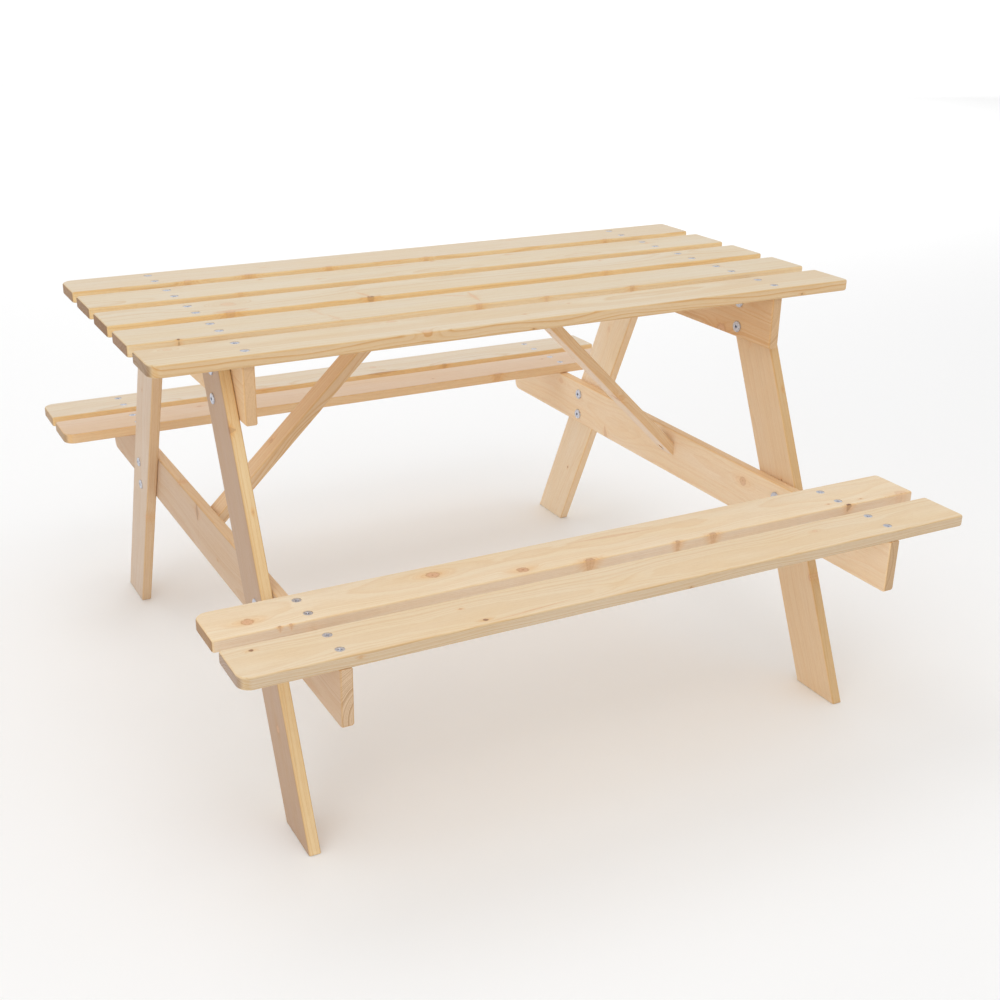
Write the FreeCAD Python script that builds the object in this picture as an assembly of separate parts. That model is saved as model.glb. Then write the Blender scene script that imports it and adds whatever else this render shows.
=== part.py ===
import FreeCAD, Part
import itertools
import math
import os

# Children's picnic table: a five-board top and two two-board benches on two A-frames.
# Axes: +X runs along the boards, +Y from the front bench to the back bench, +Z up.
# Origin: on the floor, below the middle of the tabletop. Lengths are in millimetres, angles in degrees.

# Timber. Everything but the braces is cut from one planed section.
STOCK_THICKNESS = 14.0
STOCK_WIDTH = 66.0
BRACE_WIDTH = 35.0
EDGE_RADIUS = 2.5            # easing of the long edges
OUTER_CORNER_RADIUS = {"left": 15.0, "right": 6.0}   # outer corners of the tabletop and of each bench
INNER_CORNER_RADIUS = 4.0    # board corners beside a gap

# Heights and lengths of the whole table
TABLE_HEIGHT = 510.0
SEAT_HEIGHT = 275.0
BOARD_LENGTH = 910.0

# Tabletop and benches
TABLE_BOARD_NAMES = ("front", "front_mid", "centre", "back_mid", "back")
TABLE_PITCH = 88.0
BENCH_PITCH = 86.0
BENCH_INNER_Y = 335.5      # centre line of the bench board nearer the table

# End frames
RAIL_X = 348.0             # middle of each rail's thickness, from the centre of the table
TABLE_RAIL_LENGTH = 406.0
TABLE_RAIL_CORNER = 0.6
SEAT_RAIL_FRONT_CORNER = 5.0
SEAT_RAIL_BACK_CORNER = 12.0
LEG_ANGLE = 24.5           # from the vertical
LEG_FOOT_Y = 346.0         # leg centre line at the floor

# Braces, from the middle of a seat rail up to the centre board
BRACE_TOP_X = 67.8         # where a brace's lower face meets the tabletop, from the centre of the table
BRACE_FOOT_Z = {"left": 232.0, "right": 224.0}   # where it meets the seat rail; the two differ a little

# Board screws, 5 x 40, countersunk
BOARD_SCREW = {"head": 10.4, "shank": 5.0, "length": 40.0, "recess": 5.6}
BOARD_SCREW_OFFSET = STOCK_WIDTH / 4   # each side of the board's centre line
BOARD_SCREW_SINK = 0.3
BOARD_SCREW_DISH = 1.0     # height of the room kept clear above a sunk head

# Brace screws, 4 x 16, countersunk
BRACE_SCREW = {"head": 8.0, "shank": 4.0, "length": 16.0, "recess": 4.4}
BRACE_SCREW_INSET = 10.0   # from the brace's tip, along the piece that it is fixed to
BRACE_POCKET_CLEARANCE = 0.2
BRACE_POCKET_DEPTH = 24.0

# Both sorts of screw
SCREW_RIM = 0.4            # straight edge of the head
RECESS_SLOT_SHARE = 0.22   # width of a slot of the cross recess, as a share of its span
SCREW_TURN = 37.0          # each screw in a row stops this much further round than the last

# M6 connector bolts from inside, sleeve nuts from outside
BOLT_HEAD_DIAMETER = 14.5
BOLT_HEAD_THICKNESS = 2.4
BOLT_DIAMETER = 6.0
BOLT_REACH = 9.0           # engagement in the sleeve nut
NUT_HEAD_DIAMETER = 12.5
NUT_HEAD_THICKNESS = 2.0
SLEEVE_DIAMETER = 8.0
SLEEVE_LENGTH = 12.0
SLEEVE_BORE_DEPTH = 10.0
HEAD_RIM_RADIUS = 1.2
HEX_ACROSS_FLATS = 4.0
HEX_DEPTH = 3.0
BOLT_SPACING = 33.0
BOLT_DROP = 2.5            # pair centre below the rail's centre line
TABLE_BOLT_Y = 136.0
SEAT_BOLT_Y = 245.0

TOLERANCE = 1e-6           # for telling whether two edges or two points match

# Worked out from the above
TABLE_BOARD_Y = [(index - (len(TABLE_BOARD_NAMES) - 1) / 2) * TABLE_PITCH
                 for index in range(len(TABLE_BOARD_NAMES))]
TABLE_UNDERSIDE = TABLE_HEIGHT - STOCK_THICKNESS
SEAT_UNDERSIDE = SEAT_HEIGHT - STOCK_THICKNESS
BENCH_OUTER_Y = BENCH_INNER_Y + BENCH_PITCH
SEAT_RAIL_LENGTH = 2 * BENCH_OUTER_Y + STOCK_WIDTH
RAIL_INNER_X = RAIL_X - STOCK_THICKNESS / 2
RAIL_OUTER_X = RAIL_X + STOCK_THICKNESS / 2
LEG_OUTER_X = RAIL_OUTER_X + STOCK_THICKNESS
SIDES = {"left": -1, "right": 1}
ENDS = {"front": -1, "back": 1}

X_AXIS = FreeCAD.Vector(1, 0, 0)
Y_AXIS = FreeCAD.Vector(0, 1, 0)
Z_AXIS = FreeCAD.Vector(0, 0, 1)


def vec(x, y, z):
    return FreeCAD.Vector(x, y, z)


def moved(shape, point, axis=Z_AXIS, spin=0.0):
    """The shape spun about Z, then turned so that Z points along axis, then moved to point."""
    turn = FreeCAD.Rotation(Z_AXIS, axis).multiply(FreeCAD.Rotation(Z_AXIS, spin))
    placed = shape.copy()
    placed.Placement = FreeCAD.Placement(point, turn)
    return placed


def prism(corners, direction):
    """A solid from a flat polygon pushed along a vector."""
    return Part.Face(Part.makePolygon(corners + corners[:1])).extrude(direction)


def revolved(profile):
    """A solid of revolution about Z from (radius, height) points."""
    points = [vec(radius, 0, height) for radius, height in profile]
    return Part.Face(Part.makePolygon(points + points[:1])).revolve(vec(0, 0, 0), Z_AXIS, 360)


def edges_along(shape, axis):
    """Straight edges of the shape that run along an axis."""
    return [
        edge for edge in shape.Edges
        if isinstance(edge.Curve, Part.Line) and abs(abs(edge.Curve.Direction.dot(axis)) - 1) < TOLERANCE
    ]


def edges_of_faces(shape, axis):
    """Edges round the two flat faces whose normals run along an axis."""
    return [
        edge for face in shape.Faces
        if isinstance(face.Surface, Part.Plane) and abs(abs(face.normalAt(0, 0).dot(axis)) - 1) < TOLERANCE
        for edge in face.Edges
    ]


# Timber

def board(centre_y, top_z, outer_sign=0):
    """A board along X with its corners rounded and its faces' edges eased.

    outer_sign is -1 or 1 where its front or back edge is an outer edge, which has rounder corners.
    """
    shape = Part.makeBox(
        BOARD_LENGTH, STOCK_WIDTH, STOCK_THICKNESS,
        vec(-BOARD_LENGTH / 2, centre_y - STOCK_WIDTH / 2, top_z - STOCK_THICKNESS),
    )
    for (side, side_sign), end_sign in itertools.product(SIDES.items(), ENDS.values()):
        corner = [
            edge for edge in edges_along(shape, Z_AXIS)
            if edge.Vertexes[0].X * side_sign > 0 and (edge.Vertexes[0].Y - centre_y) * end_sign > 0
        ]
        radius = OUTER_CORNER_RADIUS[side] if end_sign == outer_sign else INNER_CORNER_RADIUS
        shape = shape.makeFillet(radius, corner)
    return shape.makeFillet(EDGE_RADIUS, edges_of_faces(shape, Z_AXIS))


def table_boards():
    boards = {}
    for name, centre_y in zip(TABLE_BOARD_NAMES, TABLE_BOARD_Y):
        boards["table_board_" + name] = board(centre_y, TABLE_HEIGHT, ENDS.get(name, 0))
    return boards


def bench_boards():
    """Two boards on each side; the pair's outer corners are the well rounded ones."""
    boards = {}
    for end, sign in ENDS.items():
        for place, distance, outer_sign in (("inner", BENCH_INNER_Y, -sign), ("outer", BENCH_OUTER_Y, sign)):
            boards["bench_" + end + "_board_" + place] = board(sign * distance, SEAT_HEIGHT, outer_sign)
    return boards


def rail(side, length, top_z, front_radius, back_radius):
    """A cross rail on edge under the boards, its two lower corners rounded, its long edges eased."""
    shape = Part.makeBox(
        STOCK_THICKNESS, length, STOCK_WIDTH,
        vec(side * RAIL_X - STOCK_THICKNESS / 2, -length / 2, top_z - STOCK_WIDTH),
    )
    for end_sign, radius in ((ENDS["front"], front_radius), (ENDS["back"], back_radius)):
        corner = [
            edge for edge in edges_along(shape, X_AXIS)
            if edge.Vertexes[0].Z < top_z - TOLERANCE
            and abs(edge.Vertexes[0].Y - end_sign * length / 2) < TOLERANCE
        ]
        shape = shape.makeFillet(radius, corner)
    return shape.makeFillet(EDGE_RADIUS, edges_along(shape, Y_AXIS))


def leg(side, end):
    """A splayed leg outside a rail, cut level at the floor and under the tabletop."""
    slope = math.tan(math.radians(LEG_ANGLE))
    half_width = STOCK_WIDTH / 2 / math.cos(math.radians(LEG_ANGLE))
    top_y = LEG_FOOT_Y - slope * TABLE_UNDERSIDE
    inner_x = min(side * RAIL_OUTER_X, side * LEG_OUTER_X)
    corners = [
        vec(inner_x, end * (LEG_FOOT_Y - half_width), 0),
        vec(inner_x, end * (LEG_FOOT_Y + half_width), 0),
        vec(inner_x, end * (top_y + half_width), TABLE_UNDERSIDE),
        vec(inner_x, end * (top_y - half_width), TABLE_UNDERSIDE),
    ]
    shape = prism(corners, vec(STOCK_THICKNESS, 0, 0))
    along = vec(0, -end * slope, 1).normalize()
    return shape.makeFillet(EDGE_RADIUS, edges_along(shape, along))


def brace_slope(side):
    """Rise over run of a brace on its way up to the tabletop."""
    return (TABLE_UNDERSIDE - BRACE_FOOT_Z[side]) / (RAIL_INNER_X - BRACE_TOP_X)


def brace(side):
    """A diagonal strut: plumb cut against the seat rail, level cut under the centre board."""
    sign = SIDES[side]
    foot_z = BRACE_FOOT_Z[side]
    angle = math.atan(brace_slope(side))
    foot_height = STOCK_THICKNESS / math.cos(angle)
    top_length = STOCK_THICKNESS / math.sin(angle)
    front_y = -BRACE_WIDTH / 2
    corners = [
        vec(sign * RAIL_INNER_X, front_y, foot_z),
        vec(sign * RAIL_INNER_X, front_y, foot_z + foot_height),
        vec(sign * (BRACE_TOP_X + top_length), front_y, TABLE_UNDERSIDE),
        vec(sign * BRACE_TOP_X, front_y, TABLE_UNDERSIDE),
    ]
    shape = prism(corners, vec(0, BRACE_WIDTH, 0))
    along = vec(-sign * math.cos(angle), 0, math.sin(angle))
    return shape.makeFillet(EDGE_RADIUS, edges_along(shape, along))


# Fasteners. Each is drawn pointing down from its head plane at the origin.

def screw_blank(size):
    """A countersunk screw without its recess: rim, 90 degree cone, shank and point."""
    head = size["head"] / 2
    shank = size["shank"] / 2
    cone_end = -SCREW_RIM - (head - shank)
    point_start = size["shank"] - size["length"]
    return revolved([
        (0, 0), (head, 0), (head, -SCREW_RIM), (shank, cone_end),
        (shank, point_start), (0, -size["length"]),
    ])


def cross_recess(span):
    """Two crossed slots that taper to a point, for a cross driver."""
    depth = span / 2
    width = span * RECESS_SLOT_SHARE
    slots = [
        Part.makeBox(length, wide, depth, vec(-length / 2, -wide / 2, -depth))
        for length, wide in ((span, width), (width, span))
    ]
    taper = Part.makeCone(width / 2, span / 2, depth, vec(0, 0, -depth))
    return slots[0].fuse(slots[1]).common(taper)


def screw(size):
    return screw_blank(size).cut(cross_recess(size["recess"]))


def hex_socket():
    radius = HEX_ACROSS_FLATS / 2 / math.cos(math.pi / 6)
    corners = [
        vec(radius * math.cos(k * math.pi / 3), radius * math.sin(k * math.pi / 3), 0)
        for k in range(6)
    ]
    return prism(corners, vec(0, 0, -HEX_DEPTH))


def button_head(diameter, thickness):
    """A low round head standing on the wood, its top at the given thickness."""
    head = Part.makeCylinder(diameter / 2, thickness)
    rim = [edge for edge in head.Edges if edge.BoundBox.ZMin > thickness - TOLERANCE]
    return head.makeFillet(HEAD_RIM_RADIUS, rim)


def socketed(shape, thickness):
    return shape.cut(moved(hex_socket(), vec(0, 0, thickness)))


def connector_bolt():
    """Head on the inner face of a rail, shank through the rail and into the sleeve nut."""
    reach = STOCK_THICKNESS + BOLT_REACH
    shank = Part.makeCylinder(BOLT_DIAMETER / 2, reach, vec(0, 0, -reach))
    return socketed(button_head(BOLT_HEAD_DIAMETER, BOLT_HEAD_THICKNESS).fuse(shank), BOLT_HEAD_THICKNESS)


def sleeve_nut():
    """Head on the outer face of a leg, threaded sleeve inside the leg."""
    sleeve = Part.makeCylinder(SLEEVE_DIAMETER / 2, SLEEVE_LENGTH, vec(0, 0, -SLEEVE_LENGTH))
    bore = Part.makeCylinder(BOLT_DIAMETER / 2, SLEEVE_BORE_DEPTH, vec(0, 0, -SLEEVE_LENGTH))
    body = button_head(NUT_HEAD_DIAMETER, NUT_HEAD_THICKNESS).fuse(sleeve).cut(bore)
    return socketed(body, NUT_HEAD_THICKNESS)


# Fixings: every fastener in its place, with the hole that it needs in the timber

class Fixings:
    """Collects fasteners by node name and the cutters that make room for them."""

    def __init__(self):
        self.nodes = {}
        self.cutters = []

    def add(self, node, shape, cutter, point, axis):
        solids = self.nodes.setdefault(node, [])
        solids.append(moved(shape, point, axis, SCREW_TURN * len(solids)))
        self.cutters.append(moved(cutter, point, axis))


def board_screw_cutter():
    """The screw's own room plus the shallow dish above its sunk head."""
    dish = Part.makeCylinder(BOARD_SCREW["head"] / 2, BOARD_SCREW_DISH)
    return screw_blank(BOARD_SCREW).fuse(dish)


def brace_screw_cutter():
    """The screw's own room plus the pocket through which it was driven."""
    radius = BRACE_SCREW["head"] / 2 + BRACE_POCKET_CLEARANCE
    pocket = Part.makeCylinder(radius, BRACE_POCKET_DEPTH)
    return screw_blank(BRACE_SCREW).fuse(pocket)


def add_board_screws(fixings):
    """Two screws through each board into each rail below it."""
    shape = screw(BOARD_SCREW)
    cutter = board_screw_cutter()

    def add_pair(node, side_sign, centre_y, top_z):
        for step in (-1, 1):
            point = vec(side_sign * RAIL_X, centre_y + step * BOARD_SCREW_OFFSET, top_z - BOARD_SCREW_SINK)
            fixings.add(node, shape, cutter, point, Z_AXIS)

    for side, side_sign in SIDES.items():
        for centre_y in TABLE_BOARD_Y:
            add_pair("table_screws_" + side, side_sign, centre_y, TABLE_HEIGHT)
        for end, end_sign in ENDS.items():
            for distance in (BENCH_INNER_Y, BENCH_OUTER_Y):
                add_pair("bench_screws_" + side + "_" + end, side_sign, end_sign * distance, SEAT_HEIGHT)


def add_brace_screws(fixings):
    """One screw into the rail and one into the centre board, each sunk in the brace's lower face."""
    shape = screw(BRACE_SCREW)
    cutter = brace_screw_cutter()
    head_radius = BRACE_SCREW["head"] / 2
    for side, sign in SIDES.items():
        slope = brace_slope(side)
        foot_gap = BRACE_SCREW_INSET - head_radius / slope
        top_gap = BRACE_SCREW_INSET - head_radius * slope
        foot = vec(sign * (RAIL_INNER_X - foot_gap), 0, BRACE_FOOT_Z[side] + BRACE_SCREW_INSET * slope)
        head = vec(sign * (BRACE_TOP_X + BRACE_SCREW_INSET / slope), 0, TABLE_UNDERSIDE - top_gap)
        fixings.add("brace_screws_" + side, shape, cutter, foot, X_AXIS * -sign)
        fixings.add("brace_screws_" + side, shape, cutter, head, Z_AXIS * -1)


def add_joint_bolts(fixings):
    """Two bolts and two sleeve nuts where each leg crosses each rail."""
    bolt = connector_bolt()
    nut = sleeve_nut()
    bolt_cutter = Part.makeCylinder(BOLT_DIAMETER / 2, STOCK_THICKNESS, vec(0, 0, -STOCK_THICKNESS))
    nut_cutter = Part.makeCylinder(SLEEVE_DIAMETER / 2, STOCK_THICKNESS, vec(0, 0, -STOCK_THICKNESS))
    joints = (("table", TABLE_UNDERSIDE, TABLE_BOLT_Y), ("seat", SEAT_UNDERSIDE, SEAT_BOLT_Y))
    for (rail_name, top_z, distance), side in itertools.product(joints, SIDES):
        sign = SIDES[side]
        centre_z = top_z - STOCK_WIDTH / 2 - BOLT_DROP
        for end_sign, step in itertools.product(ENDS.values(), (-1, 1)):
            y = end_sign * distance
            z = centre_z + step * BOLT_SPACING / 2
            bolt_point = vec(sign * RAIL_INNER_X, y, z)
            nut_point = vec(sign * LEG_OUTER_X, y, z)
            fixings.add(rail_name + "_joint_bolts_" + side, bolt, bolt_cutter, bolt_point, X_AXIS * -sign)
            fixings.add(rail_name + "_joint_nuts_" + side, nut, nut_cutter, nut_point, X_AXIS * sign)


def bored(timber, cutters):
    """The timber with every fixing that reaches it cut out."""
    near = [cutter for cutter in cutters if cutter.BoundBox.intersect(timber.BoundBox)]
    return timber.cut(near) if near else timber


def all_timber():
    """Every piece of wood by node name, before any hole is made."""
    timber = {}
    timber.update(table_boards())
    timber.update(bench_boards())
    for side, side_sign in SIDES.items():
        timber["table_rail_" + side] = rail(
            side_sign, TABLE_RAIL_LENGTH, TABLE_UNDERSIDE, TABLE_RAIL_CORNER, TABLE_RAIL_CORNER)
        timber["seat_rail_" + side] = rail(
            side_sign, SEAT_RAIL_LENGTH, SEAT_UNDERSIDE, SEAT_RAIL_FRONT_CORNER, SEAT_RAIL_BACK_CORNER)
        timber["brace_" + side] = brace(side)
        for end, end_sign in ENDS.items():
            timber["leg_" + side + "_" + end] = leg(side_sign, end_sign)
    return timber


def main():
    os.makedirs("parts", exist_ok=True)
    fixings = Fixings()
    add_board_screws(fixings)
    add_brace_screws(fixings)
    add_joint_bolts(fixings)
    for node, shape in all_timber().items():
        bored(shape, fixings.cutters).exportStep("parts/" + node + ".step")
    for node, solids in fixings.nodes.items():
        Part.makeCompound(solids).exportStep("parts/" + node + ".step")


main()
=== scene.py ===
import math

import bpy
from mathutils import Euler, Matrix, Vector


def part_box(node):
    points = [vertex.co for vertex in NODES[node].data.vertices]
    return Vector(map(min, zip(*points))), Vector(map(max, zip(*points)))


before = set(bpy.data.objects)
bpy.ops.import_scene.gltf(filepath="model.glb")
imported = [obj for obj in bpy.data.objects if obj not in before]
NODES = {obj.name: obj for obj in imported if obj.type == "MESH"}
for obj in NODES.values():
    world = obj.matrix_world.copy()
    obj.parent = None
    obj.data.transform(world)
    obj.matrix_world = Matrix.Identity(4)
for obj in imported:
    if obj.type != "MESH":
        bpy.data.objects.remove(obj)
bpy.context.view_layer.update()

MM = 0.001
X, Y, Z = Vector((1, 0, 0)), Vector((0, 1, 0)), Vector((0, 0, 1))

# Slopes of the sloping timbers, as the CAD model has them to a tenth of a degree
LEG_ANGLE = math.radians(24.5)                                              # from the vertical
BRACE_ANGLES = {"left": math.radians(44.0), "right": math.radians(44.9)}    # from the horizontal

# Camera: place in metres, heading from +Y towards +X, tilt down and roll in degrees, lens in mm
CAMERA_PLACE = (-0.772, -1.5248, 0.903)
CAMERA_HEADING = 26.94
CAMERA_TILT = 23.59
CAMERA_ROLL = 0.41
CAMERA_LENS = 48.9
CAMERA_SHIFT = (0.0411, 0.0355)

# Studio: each softbox's place and the point it faces, its width in metres and its power in watts
SOFTBOXES = {
    "behind": ((-0.7, 1.4, 3.6), (0, 0, 0.35), 2.2, 21),
    "in_front": ((0, -2.0, 3.2), (0, 0, 0.35), 2.2, 14),
    "front_left": ((-2.4, -2.0, 1.6), (0, 0, 0.3), 1.6, 8),
    "backdrop": ((2.4, 5.0, 3.0), (2.8, 6.2, 0), 3.0, 120),
    "far_backdrop": ((7.0, 12.0, 6.0), (10.0, 17.0, 0), 14.0, 2200),
}
WORLD_LIGHT = 0.79
FLOOR_HALF = 40             # half the floor's width in metres
FLOOR_DROP = 0.0005         # how far it lies under the feet, in metres, so that no two faces coincide
FLOOR_COLOR = (0.95, 0.95, 0.95, 1)
FLOOR_ROUGHNESS = 0.85


def srgb(red, green, blue):
    """The linear colour of a usual 0 to 255 colour."""
    def linear(value):
        value /= 255
        return value / 12.92 if value <= 0.04045 else ((value + 0.055) / 1.055) ** 2.4
    return (linear(red), linear(green), linear(blue), 1)


# Spruce colours. The tints multiply a piece's own pale colour.
LATE_TINT = (0.86, 0.68, 0.46, 1)
FIBRE_TINT = (0.91, 0.86, 0.79, 1)
CANAL_TINT = (0.80, 0.62, 0.42, 1)
CLOUD_TINT = (0.99, 0.945, 0.86, 1)
EDGE_TINT = (0.97, 0.86, 0.64, 1)
END_LATE_TINT = (0.62, 0.47, 0.34, 1)
PORE_TINT = (0.62, 0.56, 0.50, 1)
HALO_TINT = (0.96, 0.79, 0.59, 1)
KNOT_WOOD = srgb(228, 184, 146)
KNOT_RIM = srgb(186, 128, 84)
DEAD_KNOT = srgb(118, 78, 54)

# Noise in the wood: waves per mm along and across the grain, detail, roughness, and what is added to the
# piece's seed so that the patterns differ
PATTERNS = {
    "ripple": (0.012, 0.06, 2.0, 0.50, 0.0),
    "fibre": (0.03, 1.9, 3.0, 0.62, 0.0),
    "canals": (0.045, 1.3, 1.0, 0.50, 7.3),
    "flecks": (0.22, 1.5, 2.0, 0.60, 5.1),
    "cloud": (0.006, 0.03, 3.0, 0.55, 3.9),
    "streak": (0.004, 0.28, 3.0, 0.60, 11.1),
    "pores": (1.2, 1.6, 3.0, 0.70, 0.0),
    "wobble": (0.2, 0.3, 2.0, 0.60, 0.0),
}

# Ramps. Each maps a value's range, its first two numbers, to the range of the last two.
# Noise to the strength of a mark on the wood
CLOUDS = (0.35, 0.70, 0, 1.0)
STREAKS = (0.50, 0.80, 0, 0.5)
FIBRES = (0.35, 0.72, 0, 0.6)
FLECKS = (0.45, 0.75, 0, 0.55)
PORES = (0.45, 0.75, 0, 0.6)
CANALS = (0.66, 0.80, 0, 1.0)
# How far the surface faces across or along the piece, or straight out of any face, to how much of the
# narrow faces', the sawn ends' or the rounded edges' colour it takes
NARROW_FACES = (0.45, 0.90, 0, 1)
SAWN_ENDS = (0.62, 0.90, 0, 1)
ROUNDED_EDGES = (0.90, 0.995, 0.6, 0)
# Place in the year's ring to the latewood's strength, and noise to the strength of the year
LATE_RISE = (0.25, 0.90, 0, 1)
LATE_FALL = (0.90, 1.00, 1, 0)
YEAR_STRENGTH = (0, 1, 0.3, 1.0)
# Distance in knot radii to the strength of the knot's own colour, its dark pith and its dark rim
HEART = (0.70, 1.15, 1, 0)
HEART_PITH = (0.05, 0.22, 0.8, 0)
HEART_RIM = (0.62, 0.92, 0, 0.7)
# Place in one of the heart's own rings to its darkness, and noise to how far the outline strays, in radii
HEART_RING = (0.3, 1.0, 0, 0.25)
KNOT_WOBBLE = (0.2, 0.8, -0.3, 0.3)
# Noise to how dull the zinc is, and to roughness
ZINC_PATCHES = (0.35, 0.70, 0, 1)
WOOD_ROUGHNESS = (0.2, 0.8, 0.5, 0.66)
ZINC_ROUGHNESS = (0.3, 0.7, 0.34, 0.5)

# Growth rings
DRIFT_WAVES = 0.0045        # how often the pith wanders, in waves per mm along the piece
DRIFT_ACROSS = 8            # how far it wanders across the piece, in mm
DRIFT_THROUGH = 4           # how far it wanders through the thickness, in mm
DRIFT_SEED = 31.7           # what is added to the seed for the second of the two
RIPPLE = 1.5                # how far the rings ripple, in mm
UNEVEN_WAVES = 0.31         # how often the ring spacing changes, in waves per ring
UNEVEN_YEARS = 1.8          # how far a ring is moved by that, in rings
UNEVEN_SEED = 3.1           # what the seed is multiplied by for it
LATE_SLOWNESS = 1.8         # how late in the year the latewood darkens: higher is later
CANAL_STRENGTH = 0.35       # strength of the resin canals' colour

# Knots, measured in knot radii
HALO_REACH = 2.4            # how far a knot bends and warms the wood round it
KNOT_PUSH = 1.1             # how far it pushes the rings out
NO_KNOT = 99.0              # distance to the nearest knot where there is none
KNOT_LENGTHENING = 0.9      # a knot's width over its length along the grain
HALO_LENGTHENING = 0.42     # the same for its halo
KNOT_TIP = 0.02             # share of its radius left at the ends of its reach
HALO_FADE = 1.3             # how fast the halo fades outwards: higher is faster
HEART_RINGS = 3.3           # rings in the heart of a live knot
SIDE_KNOT_STRENGTH = 0.4    # a knot on the narrow faces compared with the broad ones
HALO_STRENGTH = 0.9

# Surfaces
WOOD_IOR = 1.42
WOOD_BUMP, WOOD_BUMP_DEPTH = 0.35, 0.25 * MM
LATE_RELIEF = 0.35          # how high latewood and fibres stand, and how deep canals lie, in bump depths
FIBRE_RELIEF = 0.5
CANAL_RELIEF = 0.3
END_RELIEF = 3.0            # the same for the open pores of a sawn end
END_ROUGHER = 0.2           # how much rougher a sawn end is, and how much smoother a knot
KNOT_SMOOTHER = 0.12
ZINC = srgb(222, 223, 230)
ZINC_DULL = srgb(186, 190, 203)
ZINC_METALLIC = 0.9
ZINC_BUMP, ZINC_BUMP_DEPTH = 0.25, 0.05 * MM
PATCH_WAVES = 0.5           # waves per mm of the plating's patches and of its grain
GRIT_WAVES = 5


# Shader graphs

class Graph:
    """Adds nodes to a node tree. Every input may be a number, a colour or another node's socket."""

    # A Mix node's inputs A and B and its output, by the kind of value that it mixes
    MIX_SOCKETS = {"RGBA": (6, 7, 2), "VECTOR": (4, 5, 1)}

    def __init__(self, tree):
        self.tree = tree

    def add(self, kind, settings=None, **inputs):
        node = self.tree.nodes.new(kind)
        for name, value in (settings or {}).items():
            setattr(node, name, value)
        for name, value in inputs.items():
            self.put(node.inputs[name.replace("_", " ")], value)
        return node

    def put(self, socket, value):
        if isinstance(value, bpy.types.NodeSocket):
            self.tree.links.new(value, socket)
        else:
            socket.default_value = value

    def math(self, operation, *values):
        node = self.add("ShaderNodeMath", {"operation": operation})
        for socket, value in zip(node.inputs, values):
            self.put(socket, value)
        return node.outputs[0]

    def vector(self, operation, *values, scale=None):
        node = self.add("ShaderNodeVectorMath", {"operation": operation})
        for socket, value in zip(node.inputs, values):
            self.put(socket, value)
        if scale is not None:
            self.put(node.inputs["Scale"], scale)
        gives_number = operation in ("LENGTH", "DOT_PRODUCT")
        return node.outputs["Value" if gives_number else "Vector"]

    def combine(self, x, y, z):
        return self.add("ShaderNodeCombineXYZ", X=x, Y=y, Z=z).outputs[0]

    def separate(self, vector):
        return self.add("ShaderNodeSeparateXYZ", Vector=vector).outputs

    def stretch(self, vector, *factors):
        return self.vector("MULTIPLY", vector, factors)

    def noise(self, vector, detail, roughness, seed):
        """3-D noise, about 0 to 1. The vector is already scaled; the seed picks another pattern."""
        node = self.add(
            "ShaderNodeTexNoise", {"noise_dimensions": "4D"},
            Vector=vector, W=seed, Scale=1.0, Detail=detail, Roughness=roughness)
        return node.outputs[0]

    def noise_along(self, value, seed):
        """Noise that changes along one number only."""
        node = self.add(
            "ShaderNodeTexNoise", {"noise_dimensions": "1D"},
            W=self.math("ADD", value, seed), Scale=1.0, Detail=1.0)
        return node.outputs[0]

    def spread(self, value, low, high, to_low=0.0, to_high=1.0, smooth=False):
        """The value mapped from one range to another, held at its ends."""
        kind = "SMOOTHSTEP" if smooth else "LINEAR"
        node = self.add("ShaderNodeMapRange", {"interpolation_type": kind, "clamp": True})
        inputs = {"Value": value, "From Min": low, "From Max": high, "To Min": to_low, "To Max": to_high}
        for name, number in inputs.items():
            self.put(node.inputs[name], number)
        return node.outputs["Result"]

    def sway(self, noise, reach):
        """Noise mapped to both sides of nought."""
        return self.spread(noise, 0, 1, -reach, reach)

    def blend(self, share, first, second, mode="MIX", kind="RGBA"):
        node = self.add("ShaderNodeMix", {"data_type": kind, "blend_type": mode})
        input_a, input_b, output = self.MIX_SOCKETS[kind]
        self.put(node.inputs["Factor"], share)
        self.put(node.inputs[input_a], first)
        self.put(node.inputs[input_b], second)
        return node.outputs[output]

    def group(self, tree, **inputs):
        node = self.tree.nodes.new("ShaderNodeGroup")
        node.node_tree = tree
        for name, value in inputs.items():
            self.put(node.inputs[name.replace("_", " ")], value)
        return node


def new_group(name, inputs, outputs):
    """An empty node group and its graph, input sockets and output node."""
    kinds = {"float": "NodeSocketFloat", "vector": "NodeSocketVector", "color": "NodeSocketColor"}
    tree = bpy.data.node_groups.new(name, "ShaderNodeTree")
    for label, kind in inputs.items():
        tree.interface.new_socket(label, in_out="INPUT", socket_type=kinds[kind])
    for label, kind in outputs.items():
        tree.interface.new_socket(label, in_out="OUTPUT", socket_type=kinds[kind])
    graph = Graph(tree)
    source = tree.nodes.new("NodeGroupInput").outputs
    result = tree.nodes.new("NodeGroupOutput").inputs
    return tree, graph, source, result


def new_material(name):
    material = bpy.data.materials.new(name)
    material.use_nodes = True
    shader = material.node_tree.nodes["Principled BSDF"]
    return material, Graph(material.node_tree), shader


# Spruce

KNOT_STATE = {"Nearest": "float", "Nearest look": "vector", "Halo": "float", "Push": "float"}


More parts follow.
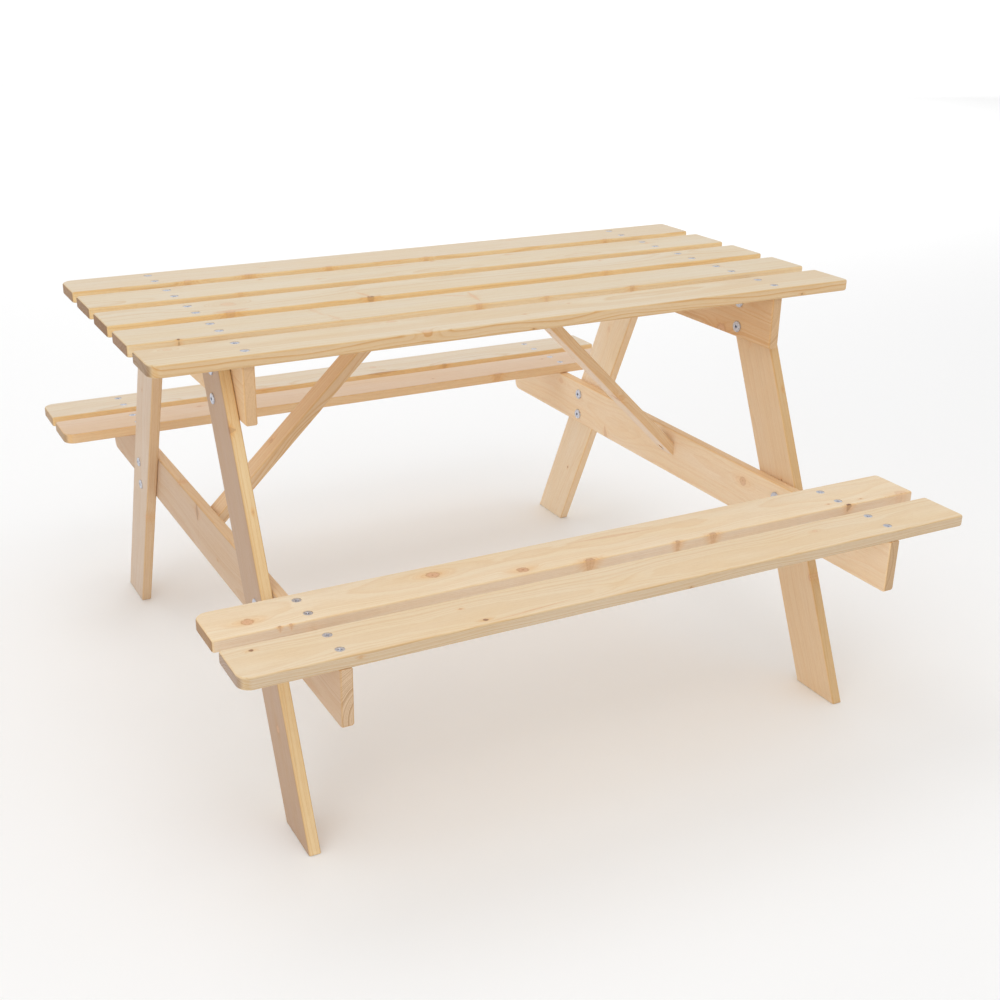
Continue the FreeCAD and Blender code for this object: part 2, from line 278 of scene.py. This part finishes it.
def knot_group():
    """One knot: a round branch about an axis, thinning out to both ends of its reach. It passes on the
    nearest knot's distance in radii, its look (how dead, how strong, 0), the halo round the knots so far and
    how far they push the growth rings outwards."""
    knot_inputs = {"Place": "vector", "Centre": "vector", "Axis": "vector", "Radius": "float",
                   "Reach": "float", "Look": "vector"}
    tree, graph, source, result = new_group("knot", {**knot_inputs, **KNOT_STATE}, KNOT_STATE)
    from_centre = graph.vector("SUBTRACT", source["Place"], source["Centre"])
    along = graph.vector("DOT_PRODUCT", from_centre, source["Axis"])
    on_axis = graph.vector("SCALE", source["Axis"], scale=along)
    away = graph.vector("SUBTRACT", from_centre, on_axis)
    share_of_reach = graph.math("DIVIDE", graph.math("ABSOLUTE", along), source["Reach"])
    radius = graph.math("MULTIPLY", source["Radius"], graph.spread(share_of_reach, 0, 1, 1, KNOT_TIP))
    core = graph.vector("LENGTH", graph.stretch(away, KNOT_LENGTHENING, 1, 1))
    ratio = graph.math("DIVIDE", core, radius)
    around = graph.vector("LENGTH", graph.stretch(away, HALO_LENGTHENING, 1, 1))
    halo_ratio = graph.math("DIVIDE", around, graph.math("MULTIPLY", radius, HALO_REACH))
    bend = graph.math("POWER", graph.spread(halo_ratio, 0, 1, 1, 0, smooth=True), HALO_FADE)
    push = graph.math("MULTIPLY", graph.math("MULTIPLY", bend, radius), KNOT_PUSH)
    strength = graph.separate(source["Look"])[1]
    halo = graph.math("MULTIPLY", bend, strength)
    nearer = graph.math("LESS_THAN", ratio, source["Nearest"])
    look = graph.blend(nearer, source["Nearest look"], source["Look"], kind="VECTOR")
    graph.put(result["Nearest"], graph.math("MINIMUM", ratio, source["Nearest"]))
    graph.put(result["Nearest look"], look)
    graph.put(result["Halo"], graph.math("MAXIMUM", halo, source["Halo"]))
    graph.put(result["Push"], graph.math("ADD", push, source["Push"]))
    return tree


def pattern(graph, source, name):
    """The noise of that name in PATTERNS, about 0 to 1, at a place in the wood."""
    along, across, detail, roughness, seed_step = PATTERNS[name]
    place = graph.stretch(source["Place"], along, across, across)
    return graph.noise(place, detail, roughness, graph.math("ADD", source["Seed"], seed_step))


def growth_rings(graph, source):
    """(ring number, place within the ring from 0 to 1) at a place in millimetres."""
    seed = source["Seed"]
    along, across, through = graph.separate(source["Place"])
    slow = graph.math("MULTIPLY", along, DRIFT_WAVES)
    drift_across = graph.sway(graph.noise_along(slow, seed), DRIFT_ACROSS)
    other_seed = graph.math("ADD", seed, DRIFT_SEED)
    drift_through = graph.sway(graph.noise_along(slow, other_seed), DRIFT_THROUGH)
    from_pith = graph.vector("SUBTRACT", graph.combine(0, across, through), source["Pith"])
    from_pith = graph.vector("ADD", from_pith, graph.combine(0, drift_across, drift_through))
    radius = graph.vector("LENGTH", from_pith)
    radius = graph.math("ADD", radius, graph.sway(pattern(graph, source, "ripple"), RIPPLE))
    radius = graph.math("SUBTRACT", radius, source["Push"])
    years = graph.math("DIVIDE", radius, source["Spacing"])
    uneven_seed = graph.math("MULTIPLY", seed, UNEVEN_SEED)
    uneven = graph.noise_along(graph.math("MULTIPLY", years, UNEVEN_WAVES), uneven_seed)
    years = graph.math("ADD", years, graph.sway(uneven, UNEVEN_YEARS))
    return graph.math("FLOOR", years), graph.math("FRACT", years)


def latewood(graph, source):
    """0 in earlywood to 1 in latewood: a slow rise and a sharp end, stronger in some years."""
    ring, part = growth_rings(graph, source)
    rise = graph.math("POWER", graph.spread(part, *LATE_RISE, smooth=True), LATE_SLOWNESS)
    fall = graph.spread(part, *LATE_FALL, smooth=True)
    year = graph.add("ShaderNodeTexWhiteNoise", {"noise_dimensions": "1D"})
    graph.put(year.inputs["W"], graph.math("ADD", ring, source["Seed"]))
    strength = graph.spread(year.outputs[0], *YEAR_STRENGTH)
    return graph.math("MULTIPLY", graph.math("MULTIPLY", rise, fall), strength)


def tinted(graph, color, share, tint):
    return graph.blend(share, color, tint, "MULTIPLY")


def marked(graph, color, noise, mark, tint):
    """The colour with one kind of mark, whose ramp is given."""
    return tinted(graph, color, graph.spread(noise, *mark), tint)


def knot_color(graph, near, look):
    """A ringed heart with a darker rim, brown right through when dead."""
    dead = graph.separate(look)[0]
    ring = graph.math("FRACT", graph.math("MULTIPLY", near, HEART_RINGS))
    live = graph.blend(graph.spread(ring, *HEART_RING), KNOT_WOOD, KNOT_RIM)
    pith = graph.spread(near, *HEART_PITH, smooth=True)
    rim = graph.spread(near, *HEART_RIM, smooth=True)
    live = graph.blend(graph.math("MAXIMUM", pith, rim), live, KNOT_RIM)
    return graph.blend(dead, live, DEAD_KNOT)


def spruce_group():
    """Planed spruce at a place in the piece's own millimetres: X along the grain, Z through it."""
    wood_inputs = {"Place": "vector", "Facing": "vector", "Pith": "vector", "Spacing": "float",
                   "Seed": "float", "Broad": "color", "Side": "color", "End": "color",
                   "Contrast": "vector"}
    outputs = {"Color": "color", "Roughness": "float", "Height": "float"}
    tree, graph, source, result = new_group("spruce", {**wood_inputs, **KNOT_STATE}, outputs)
    late = latewood(graph, source)
    fibre = pattern(graph, source, "fibre")
    pores = pattern(graph, source, "pores")
    canals = graph.spread(pattern(graph, source, "canals"), *CANALS, smooth=True)

    # The broad and the narrow faces cut the rings differently, so they differ in colour; on several pieces
    # the narrow faces' colour is also darkened with painted shade, standing in for the shade on their front
    # edges
    face_along, face_across, face_through = graph.separate(graph.vector("ABSOLUTE", source["Facing"]))
    side = graph.spread(face_across, *NARROW_FACES, smooth=True)
    wood = graph.blend(side, source["Broad"], source["Side"])
    wood = marked(graph, wood, pattern(graph, source, "cloud"), CLOUDS, CLOUD_TINT)
    wood = marked(graph, wood, pattern(graph, source, "streak"), STREAKS, FIBRE_TINT)
    broad_contrast, side_contrast, end_contrast = graph.separate(source["Contrast"])
    contrast = graph.spread(side, 0, 1, broad_contrast, side_contrast)
    wood = tinted(graph, wood, graph.math("MULTIPLY", late, contrast), LATE_TINT)
    wood = marked(graph, wood, fibre, FIBRES, FIBRE_TINT)
    wood = tinted(graph, wood, graph.math("MULTIPLY", canals, CANAL_STRENGTH), CANAL_TINT)
    wood = marked(graph, wood, pattern(graph, source, "flecks"), FLECKS, FIBRE_TINT)

    # Sawn ends: darker, with the rings plainer and open pores
    end = graph.spread(face_along, *SAWN_ENDS, smooth=True)
    end_color = tinted(graph, source["End"], graph.math("MULTIPLY", late, end_contrast), END_LATE_TINT)
    end_color = marked(graph, end_color, pores, PORES, PORE_TINT)
    wood = graph.blend(end, wood, end_color)

    # Rounded edges: burnished a little warmer
    flat = graph.math("MAXIMUM", graph.math("MAXIMUM", face_along, face_across), face_through)
    edge = graph.spread(flat, *ROUNDED_EDGES, smooth=True)
    wood = tinted(graph, wood, edge, EDGE_TINT)

    # Knots, each in a warm halo, fainter on the narrow faces
    wobble = graph.spread(pattern(graph, source, "wobble"), *KNOT_WOBBLE)
    near = graph.math("ADD", source["Nearest"], wobble)
    strength = graph.separate(source["Nearest look"])[1]
    strength = graph.math("MULTIPLY", strength, graph.spread(side, 0, 1, 1, SIDE_KNOT_STRENGTH))
    heart = graph.math("MULTIPLY", graph.spread(near, *HEART, smooth=True), strength)
    wood = tinted(graph, wood, graph.math("MULTIPLY", source["Halo"], HALO_STRENGTH), HALO_TINT)
    wood = graph.blend(heart, wood, knot_color(graph, near, source["Nearest look"]))

    # Relief and gloss: latewood and fibres stand up, sawn ends are rough, knots are smoother
    late_height = graph.math("MULTIPLY", late, LATE_RELIEF)
    height = graph.math("ADD", late_height, graph.math("MULTIPLY", fibre, FIBRE_RELIEF))
    height = graph.math("SUBTRACT", height, graph.math("MULTIPLY", canals, CANAL_RELIEF))
    rough_end = graph.math("MULTIPLY", graph.math("MULTIPLY", pores, end), END_RELIEF)
    roughness = graph.spread(fibre, *WOOD_ROUGHNESS)
    roughness = graph.math("ADD", roughness, graph.math("MULTIPLY", end, END_ROUGHER))
    roughness = graph.math("SUBTRACT", roughness, graph.math("MULTIPLY", heart, KNOT_SMOOTHER))
    graph.put(result["Color"], wood)
    graph.put(result["Roughness"], roughness)
    graph.put(result["Height"], graph.math("ADD", height, rough_end))
    return tree


KNOT_GROUP = knot_group()
SPRUCE_GROUP = spruce_group()


def spruce_material(name, centre, axes, tree, knots):
    """Spruce for one piece. axes are its own X, Y and Z in the table's frame. Pith and knots are in its own
    millimetres."""
    material, graph, shader = new_material(name)
    turn = Matrix(axes).transposed().to_euler()
    coordinates = graph.add("ShaderNodeTexCoord").outputs
    place = graph.add(
        "ShaderNodeMapping", {"vector_type": "TEXTURE"},
        Vector=coordinates["Object"], Location=centre, Rotation=turn, Scale=(MM, MM, MM)).outputs[0]
    facing = graph.add(
        "ShaderNodeMapping", {"vector_type": "TEXTURE"},
        Vector=coordinates["Normal"], Rotation=turn).outputs[0]
    nearest, look, halo, push = NO_KNOT, (0, 0, 0), 0.0, 0.0
    for knot in knots:
        node = graph.group(
            KNOT_GROUP, Place=place, Centre=knot["centre"], Axis=Vector(knot["axis"]).normalized(),
            Radius=knot["radius"], Reach=knot["reach"], Look=(knot["dead"], knot["strength"], 0),
            Nearest=nearest, Nearest_look=look, Halo=halo, Push=push)
        nearest, look, halo, push = node.outputs
    wood = graph.group(
        SPRUCE_GROUP, Place=place, Facing=facing, Pith=(0, *tree["pith"]), Spacing=tree["spacing"],
        Seed=tree["seed"], Broad=srgb(*tree["broad"]), Side=srgb(*tree["side"]), End=srgb(*tree["end"]),
        Contrast=tree["contrast"], Nearest=nearest, Nearest_look=look, Halo=halo, Push=push).outputs
    bump = graph.add("ShaderNodeBump", Strength=WOOD_BUMP, Distance=WOOD_BUMP_DEPTH, Height=wood["Height"])
    graph.put(shader.inputs["Base Color"], wood["Color"])
    graph.put(shader.inputs["Roughness"], wood["Roughness"])
    graph.put(shader.inputs["Normal"], bump.outputs[0])
    shader.inputs["IOR"].default_value = WOOD_IOR
    return material


# Each timber's knots, in its own millimetres from its middle

HALF_WIDTH = 33         # half the width of a timber: where its long edges are
PIN_RADIUS = 1.6        # the trace of a twig


def knot(along, across, radius, through=0, lean=(0, 0.1, 1), reach=200, dead=0.0, strength=1.0):
    """A knot through the piece."""
    return {"centre": (along, across, through), "axis": lean, "radius": radius, "reach": reach,
            "dead": dead, "strength": strength}


def pin(along, across, dead=0.6, through=0, lean=(0, 0.1, 1)):
    """A pin knot."""
    return knot(along, across, PIN_RADIUS, through, lean, dead=dead)


def spike(along, across, radius, lean, reach, dead=0.0, strength=1.0, through=7):
    """A knot cut along its length, near the upper face, thinning out both ways from a point."""
    return knot(along, across, radius, through, lean, reach, dead, strength)


def edge_spike(along, radius, lean=(1, 0, 0), reach=40, dead=0.0, strength=0.7):
    """A knot cut along its length in the front upper edge of a board."""
    return spike(along, -HALF_WIDTH, radius, lean, reach, dead, strength)


def edge_knot(along, radius, dead=0.1, strength=0.8, lean=(0.06, 0.05, 1)):
    """A knot in the front upper edge of a board, thinner further down."""
    return knot(along, -HALF_WIDTH, radius, 8, lean, 26, dead, strength)


def edge_dot(along, through, dead=0.9):
    """A pin knot in the front narrow face of a board."""
    return pin(along, -HALF_WIDTH, dead, through, (0, 1, 0))


def edge_pin(along, dead=0.3):
    """A pin knot just at the front upper edge of a board."""
    return knot(along, 1 - HALF_WIDTH, PIN_RADIUS, 7, reach=8, dead=dead)


KNOTS = {
    "table_board_front": [
        knot(-143, -HALF_WIDTH, 7.0, through=9, lean=(0, 1, 0.35), reach=34, strength=0.4),
        knot(-420, 21, 5.0, strength=0.22), knot(-161, 26, 4.0, strength=0.4), pin(65, 13, 0.2),
        pin(-8, -10, 0.2), pin(11, 34, 0.1), knot(154, HALF_WIDTH, 5.0, strength=0.4),
        edge_dot(-9, -5), edge_dot(380, -4, 1.0),
    ],
    "table_board_front_mid": [
        pin(-398, 1 - HALF_WIDTH, 0.9), spike(-222, 20, 3.0, (0.15, -1, 0), 26, strength=0.22),
        spike(-211, -20, 2.4, (0.2, -1, 0), 22, strength=0.25),
        spike(-22, 4, 3.0, (0.15, 1, 0), 24, strength=0.5),
        spike(-40, 16, 2.0, (1, -0.5, 0), 24, strength=0.5),
        edge_knot(-33, 4.2), edge_knot(59, 3.0, strength=0.6), edge_knot(183, 3.4, 0.2),
        spike(350, 14, 2.4, (0.8, -1, 0), 36, strength=0.2),
    ],
    "table_board_centre": [
        knot(-302, 2, 9.0, strength=0.28, lean=(0, 0.5, 1)),
        spike(-308, -26, 5.0, (1, 0.05, 0), 26, strength=0.5),
        edge_knot(-311, 6.0, 0.25, 0.7, lean=(0.2, 0.2, 1)), edge_knot(-135, 4.6, 0.75, 0.9),
        spike(-138, -20, 2.2, (-0.25, 1, 0), 20, strength=0.5), pin(225, 22, 0.1),
        edge_knot(200, 3.6, strength=0.5),
    ],
    "table_board_back_mid": [
        pin(-226, 22, 0.2), knot(-157, -6, 3.0, strength=0.35),
        spike(-42, 22, 1.6, (1, 0, 0), 40, strength=0.5), pin(18, 27, 0.2),
        knot(132, 23, 3.0, strength=0.5), knot(350, 6, 4.0, strength=0.5),
        knot(-333, 24, 5.0, strength=0.2), edge_knot(-270, 3.0, strength=0.4),
    ],
    "table_board_back": [
        edge_knot(-310, 4.6, strength=0.6), edge_knot(-230, 5.2, 0.15, 0.7),
        edge_knot(-119, 3.6, strength=0.6), edge_spike(-33, 2.0, (1, 0.02, 0), 50, strength=0.4),
        edge_knot(23, 3.6, 0.2, 0.6), knot(-198, 0, 3.0, strength=0.3),
        edge_knot(310, 3.4, strength=0.6), knot(180, 20, 4.0, strength=0.3),
    ],
    "bench_front_board_inner": [
        knot(-410, -9, 6.6), knot(-195, 11, 7.4, lean=(0.15, -0.15, 1)), knot(-100, -22, 6.4, dead=0.1),
        edge_knot(-20, 6.0, 0.2, 1.0), edge_knot(98, 3.4, 0.2, 1.0), edge_knot(148, 4.6, 0.15, 1.0),
        edge_knot(352, 4.0, 0.95, 1.0, lean=(0.3, 0.3, 1)), edge_pin(-384), edge_pin(-372, 0.1),
        pin(378, -24, 0.2), pin(330, -20, 0.1),
        knot(436, -HALF_WIDTH, 8.0, lean=(0.1, 0.3, 1), strength=0.45),
        spike(40, 14, 2.6, (1, -0.06, 0), 60, strength=0.3),
    ],
    "bench_front_board_outer": [
        knot(-426, 18, 2.4, dead=0.7), knot(-192, -24, 2.8, dead=0.7), pin(-204, 9, 0.1),
        edge_dot(-333, 3, 0.2), edge_dot(55, -5),
        spike(-140, -25, 1.6, (1, 0.08, 0), 60, strength=0.4), knot(260, 8, 3.4, strength=0.4),
    ],
    "bench_back_board_inner": [
        edge_knot(225, 6.0, 0.1, 0.8, lean=(0.3, 0.1, 1)), knot(-60, 4, 4.6, strength=0.4),
        knot(-250, 12, 3.6, dead=0.2, strength=0.7), pin(120, -12, 0.4), pin(330, 10, 0.4),
    ],
    "bench_back_board_outer": [
        edge_spike(60, 3.2, dead=0.5, strength=0.8), edge_spike(-137, 3.6), edge_knot(172, 4.0, 0.3),
        knot(60, 0, 4.4, strength=0.4), pin(-300, 6, 0.5),
    ],
    "table_rail_left": [knot(60, -6, 6.0), pin(-130, 10)],
    "table_rail_right": [
        knot(-103, 2 - HALF_WIDTH, 10.0, strength=0.8), knot(95, 8, 5.0, strength=0.6),
    ],
    "seat_rail_left": [
        spike(17, 22, 5.5, (0.05, -1, 0), 13, dead=0.6, strength=0.7, through=-7), pin(-60, -12, 0.4),
        knot(97, HALF_WIDTH, 3.0, strength=0.6), knot(240, 6, 6.0), knot(-300, -8, 5.0, strength=0.8),
    ],
    "seat_rail_right": [
        spike(162, -31, 5.0, (0.25, 1, 0), 20, dead=0.1, strength=0.45, through=-6),
        knot(301, 22, 5.0, strength=0.3), knot(-177, 14, 6.4, strength=0.6),
        knot(-350, -8, 5.0, dead=0.3, strength=0.6),
    ],
    "leg_left_front": [
        knot(178, HALF_WIDTH, 3.4, through=-7, reach=9, dead=0.6, strength=0.9),
        pin(88, HALF_WIDTH, 0.2, 2, (0, 1, 0)), pin(-60, 12, 0.3), knot(-150, 4, 5.0, strength=0.4),
    ],
    "leg_left_back": [
        knot(-80, HALF_WIDTH, 3.6, strength=0.5), knot(-232, -HALF_WIDTH, 4.0, through=-6, strength=0.6),
        pin(120, -8, 0.3),
    ],
    "leg_right_front": [
        pin(10, 10, 0.4), pin(126, HALF_WIDTH, 0.3, 2, (0, 1, 0)),
        knot(-120, HALF_WIDTH, 4.0, strength=0.6), knot(200, -4, 4.0, strength=0.4),
    ],
    "leg_right_back": [knot(120, -6, 4.4, strength=0.25), pin(-160, 8, 0.2)],
    "brace_left": [pin(95, 0, 0.5, 0, (0.4, 1, 0)), knot(-60, 4, 3.4, strength=0.7)],
    "brace_right": [knot(-52, -12, 4.0, lean=(0.2, 1, 0.4), strength=0.8), pin(90, 5, 0.3)],
}


# Each timber's wood

CREAM = (226, 213, 191)
HONEY = (240, 210, 173)
STRAW = (228, 200, 162)
SAWN_END = (196, 168, 138)


def tree(pith, spacing, seed, broad, side, end=SAWN_END, contrast=(0.5, 0.6, 0.7)):
    """The tree that a piece was cut from: its pith (across, through) in mm from the piece's middle, the ring
    spacing in mm, and the colour and the ring contrast of the broad faces, narrow faces and ends. On some
    pieces the narrow faces' colour is darkened with painted shade."""
    return {"pith": pith, "spacing": spacing, "seed": seed, "broad": broad, "side": side, "end": end,
            "contrast": contrast}


TREES = {
    "table_board_front": tree(
        pith=(14, -46), spacing=3.6, seed=1.0,
        broad=(228, 214, 191), side=(226, 199, 161), end=(180, 155, 130), contrast=(0.5, 1.1, 0.7)),
    "table_board_front_mid": tree(
        pith=(-60, -70), spacing=2.4, seed=2.0,
        broad=CREAM, side=(243, 224, 189), end=(170, 138, 112)),
    "table_board_centre": tree(
        pith=(25, -80), spacing=2.6, seed=3.0,
        broad=CREAM, side=(242, 213, 163), end=(159, 125, 96)),
    "table_board_back_mid": tree(
        pith=(-20, -55), spacing=2.8, seed=4.0,
        broad=CREAM, side=(242, 219, 177), end=(166, 135, 107)),
    "table_board_back": tree(
        pith=(60, -50), spacing=2.2, seed=5.0,
        broad=(226, 213, 193), side=(243, 219, 175), end=(176, 145, 116)),
    # The bench front boards' narrow-face colours are darker than their broad faces, partly the wood's own
    # colour and partly painted shade on their front edges
    "bench_front_board_inner": tree(
        pith=(10, -70), spacing=2.6, seed=6.0,
        broad=(245, 229, 204), side=(239, 221, 200), end=(184, 150, 116), contrast=(0.4, 0.35, 0.7)),
    "bench_front_board_outer": tree(
        pith=(-8, -52), spacing=2.2, seed=7.0,
        broad=(236, 218, 190), side=(217, 198, 172), end=(190, 168, 151), contrast=(0.5, 0.9, 0.8)),
    "bench_back_board_inner": tree(
        pith=(30, -60), spacing=2.5, seed=8.0,
        broad=(229, 204, 180), side=(243, 212, 172), contrast=(0.4, 0.5, 0.6)),
    "bench_back_board_outer": tree(
        pith=(-25, -75), spacing=2.4, seed=9.0,
        broad=(229, 217, 200), side=(244, 215, 168)),
    "table_rail_left": tree(
        pith=(-20, 60), spacing=2.2, seed=10.0,
        broad=HONEY, side=STRAW, end=(224, 188, 146), contrast=(0.5, 0.6, 0.2)),
    "table_rail_right": tree(
        pith=(20, -45), spacing=3.0, seed=11.0,
        broad=(234, 200, 161), side=STRAW, end=(220, 185, 144), contrast=(0.7, 0.6, 0.5)),
    "seat_rail_left": tree(
        pith=(-24, 30), spacing=2.2, seed=12.0,
        broad=(213, 186, 160), side=(236, 206, 170), end=(220, 190, 156), contrast=(0.45, 0.5, 1.0)),
    "seat_rail_right": tree(
        pith=(5, -90), spacing=2.4, seed=13.0,
        broad=(253, 230, 201), side=HONEY, end=(206, 173, 135), contrast=(0.3, 0.5, 0.5)),
    "leg_left_front": tree(
        pith=(20, 240), spacing=1.6, seed=14.0,
        broad=(195, 167, 144), side=(238, 211, 166), contrast=(0.2, 0.7, 0.6)),
    "leg_left_back": tree(
        pith=(30, 60), spacing=2.6, seed=15.0,
        broad=(220, 201, 184), side=(222, 193, 160), contrast=(0.35, 0.6, 0.6)),
    # Its narrow faces' colour is darkened with painted shadow: the bench's shadow on the lower part of its
    # front face, spread over the whole face
    "leg_right_front": tree(
        pith=(-40, 50), spacing=1.8, seed=16.0,
        broad=(239, 212, 179), side=(219, 187, 142), contrast=(0.3, 0.45, 0.6)),
    "leg_right_back": tree(
        pith=(30, 55), spacing=2.4, seed=17.0,
        broad=(253, 234, 208), side=(240, 212, 178), contrast=(0.25, 0.4, 0.6)),
    "brace_left": tree(
        pith=(120, 60), spacing=2.6, seed=18.0,
        broad=(248, 217, 180), side=(232, 204, 170), contrast=(1.1, 0.9, 0.7)),
    "brace_right": tree(
        pith=(30, -40), spacing=2.6, seed=19.0,
        broad=(250, 232, 215), side=(236, 208, 172), contrast=(0.6, 0.9, 0.7)),
}


def leg_axes(end):
    """end is -1 at the front and 1 at the back."""
    along = Vector((0, -end * math.sin(LEG_ANGLE), math.cos(LEG_ANGLE)))
    return (along, X.cross(along), X)


def brace_axes(side):
    sign = 1 if side == "right" else -1
    angle = BRACE_ANGLES[side]
    along = Vector((-sign * math.cos(angle), 0, math.sin(angle)))
    return (along, Y, along.cross(Y))


def timber_axes(node):
    """The piece's own axes: along the grain, across it and through the thickness."""
    if node.startswith("leg"):
        return leg_axes(-1 if node.endswith("front") else 1)
    if node.startswith("brace"):
        return brace_axes(node.rsplit("_", 1)[1])
    if "rail" in node:
        return (Y, Z, X)
    return (X, Y, Z)


def middle(node):
    low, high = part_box(node)
    return (low + high) / 2


def set_material(node, material):
    NODES[node].data.materials.clear()
    NODES[node].data.materials.append(material)


def dress_timber():
    for node, wood in TREES.items():
        material = spruce_material("spruce_" + node, middle(node), timber_axes(node), wood, KNOTS[node])
        set_material(node, material)


# Fasteners

def zinc_material():
    """Bright zinc plating: slightly patchy and finely grained."""
    material, graph, shader = new_material("zinc")
    place = graph.vector("SCALE", graph.add("ShaderNodeTexCoord").outputs["Object"], scale=1 / MM)
    patch = graph.noise(graph.vector("SCALE", place, scale=PATCH_WAVES), 3.0, 0.6, 1.0)
    grit = graph.noise(graph.vector("SCALE", place, scale=GRIT_WAVES), 2.0, 0.6, 2.0)
    color = graph.blend(graph.spread(patch, *ZINC_PATCHES), ZINC, ZINC_DULL)
    bump = graph.add("ShaderNodeBump", Strength=ZINC_BUMP, Distance=ZINC_BUMP_DEPTH, Height=grit)
    graph.put(shader.inputs["Base Color"], color)
    graph.put(shader.inputs["Roughness"], graph.spread(patch, *ZINC_ROUGHNESS))
    graph.put(shader.inputs["Normal"], bump.outputs[0])
    shader.inputs["Metallic"].default_value = ZINC_METALLIC
    return material


def dress_fasteners():
    zinc = zinc_material()
    for node in NODES:
        if "screws" in node or "joint" in node:
            set_material(node, zinc)


# Studio

def add_camera():
    data = bpy.data.cameras.new("camera")
    data.lens = CAMERA_LENS
    data.shift_x, data.shift_y = CAMERA_SHIFT
    camera = bpy.data.objects.new("camera", data)
    turn = Euler((math.radians(90 - CAMERA_TILT), 0, math.radians(-CAMERA_HEADING))).to_matrix()
    roll = Matrix.Rotation(math.radians(CAMERA_ROLL), 3, "Z")
    camera.matrix_world = Matrix.Translation(CAMERA_PLACE) @ (turn @ roll).to_4x4()
    bpy.context.scene.collection.objects.link(camera)
    bpy.context.scene.camera = camera


def add_softbox(name, place, aim, size, power):
    data = bpy.data.lights.new(name, "AREA")
    data.size = size
    data.energy = power
    lamp = bpy.data.objects.new(name, data)
    lamp.location = place
    lamp.rotation_euler = (Vector(aim) - Vector(place)).to_track_quat("-Z", "Y").to_euler()
    bpy.context.scene.collection.objects.link(lamp)


def add_floor():
    mesh = bpy.data.meshes.new("floor")
    corners = [(x * FLOOR_HALF, y * FLOOR_HALF, 0) for x, y in ((-1, -1), (1, -1), (1, 1), (-1, 1))]
    mesh.from_pydata(corners, [], [(0, 1, 2, 3)])
    floor = bpy.data.objects.new("floor", mesh)
    floor.location.z = -FLOOR_DROP
    bpy.context.scene.collection.objects.link(floor)
    material, graph, shader = new_material("floor")
    shader.inputs["Base Color"].default_value = FLOOR_COLOR
    shader.inputs["Roughness"].default_value = FLOOR_ROUGHNESS
    mesh.materials.append(material)


def light_room():
    world = bpy.data.worlds.new("studio")
    world.use_nodes = True
    bpy.context.scene.world = world
    background = world.node_tree.nodes["Background"]
    background.inputs["Color"].default_value = (1, 1, 1, 1)
    background.inputs["Strength"].default_value = WORLD_LIGHT
    for name, (place, aim, size, power) in SOFTBOXES.items():
        add_softbox(name, place, aim, size, power)


dress_timber()
dress_fasteners()
add_camera()
add_floor()
light_room()
bpy.context.scene.view_settings.view_transform = "Standard"
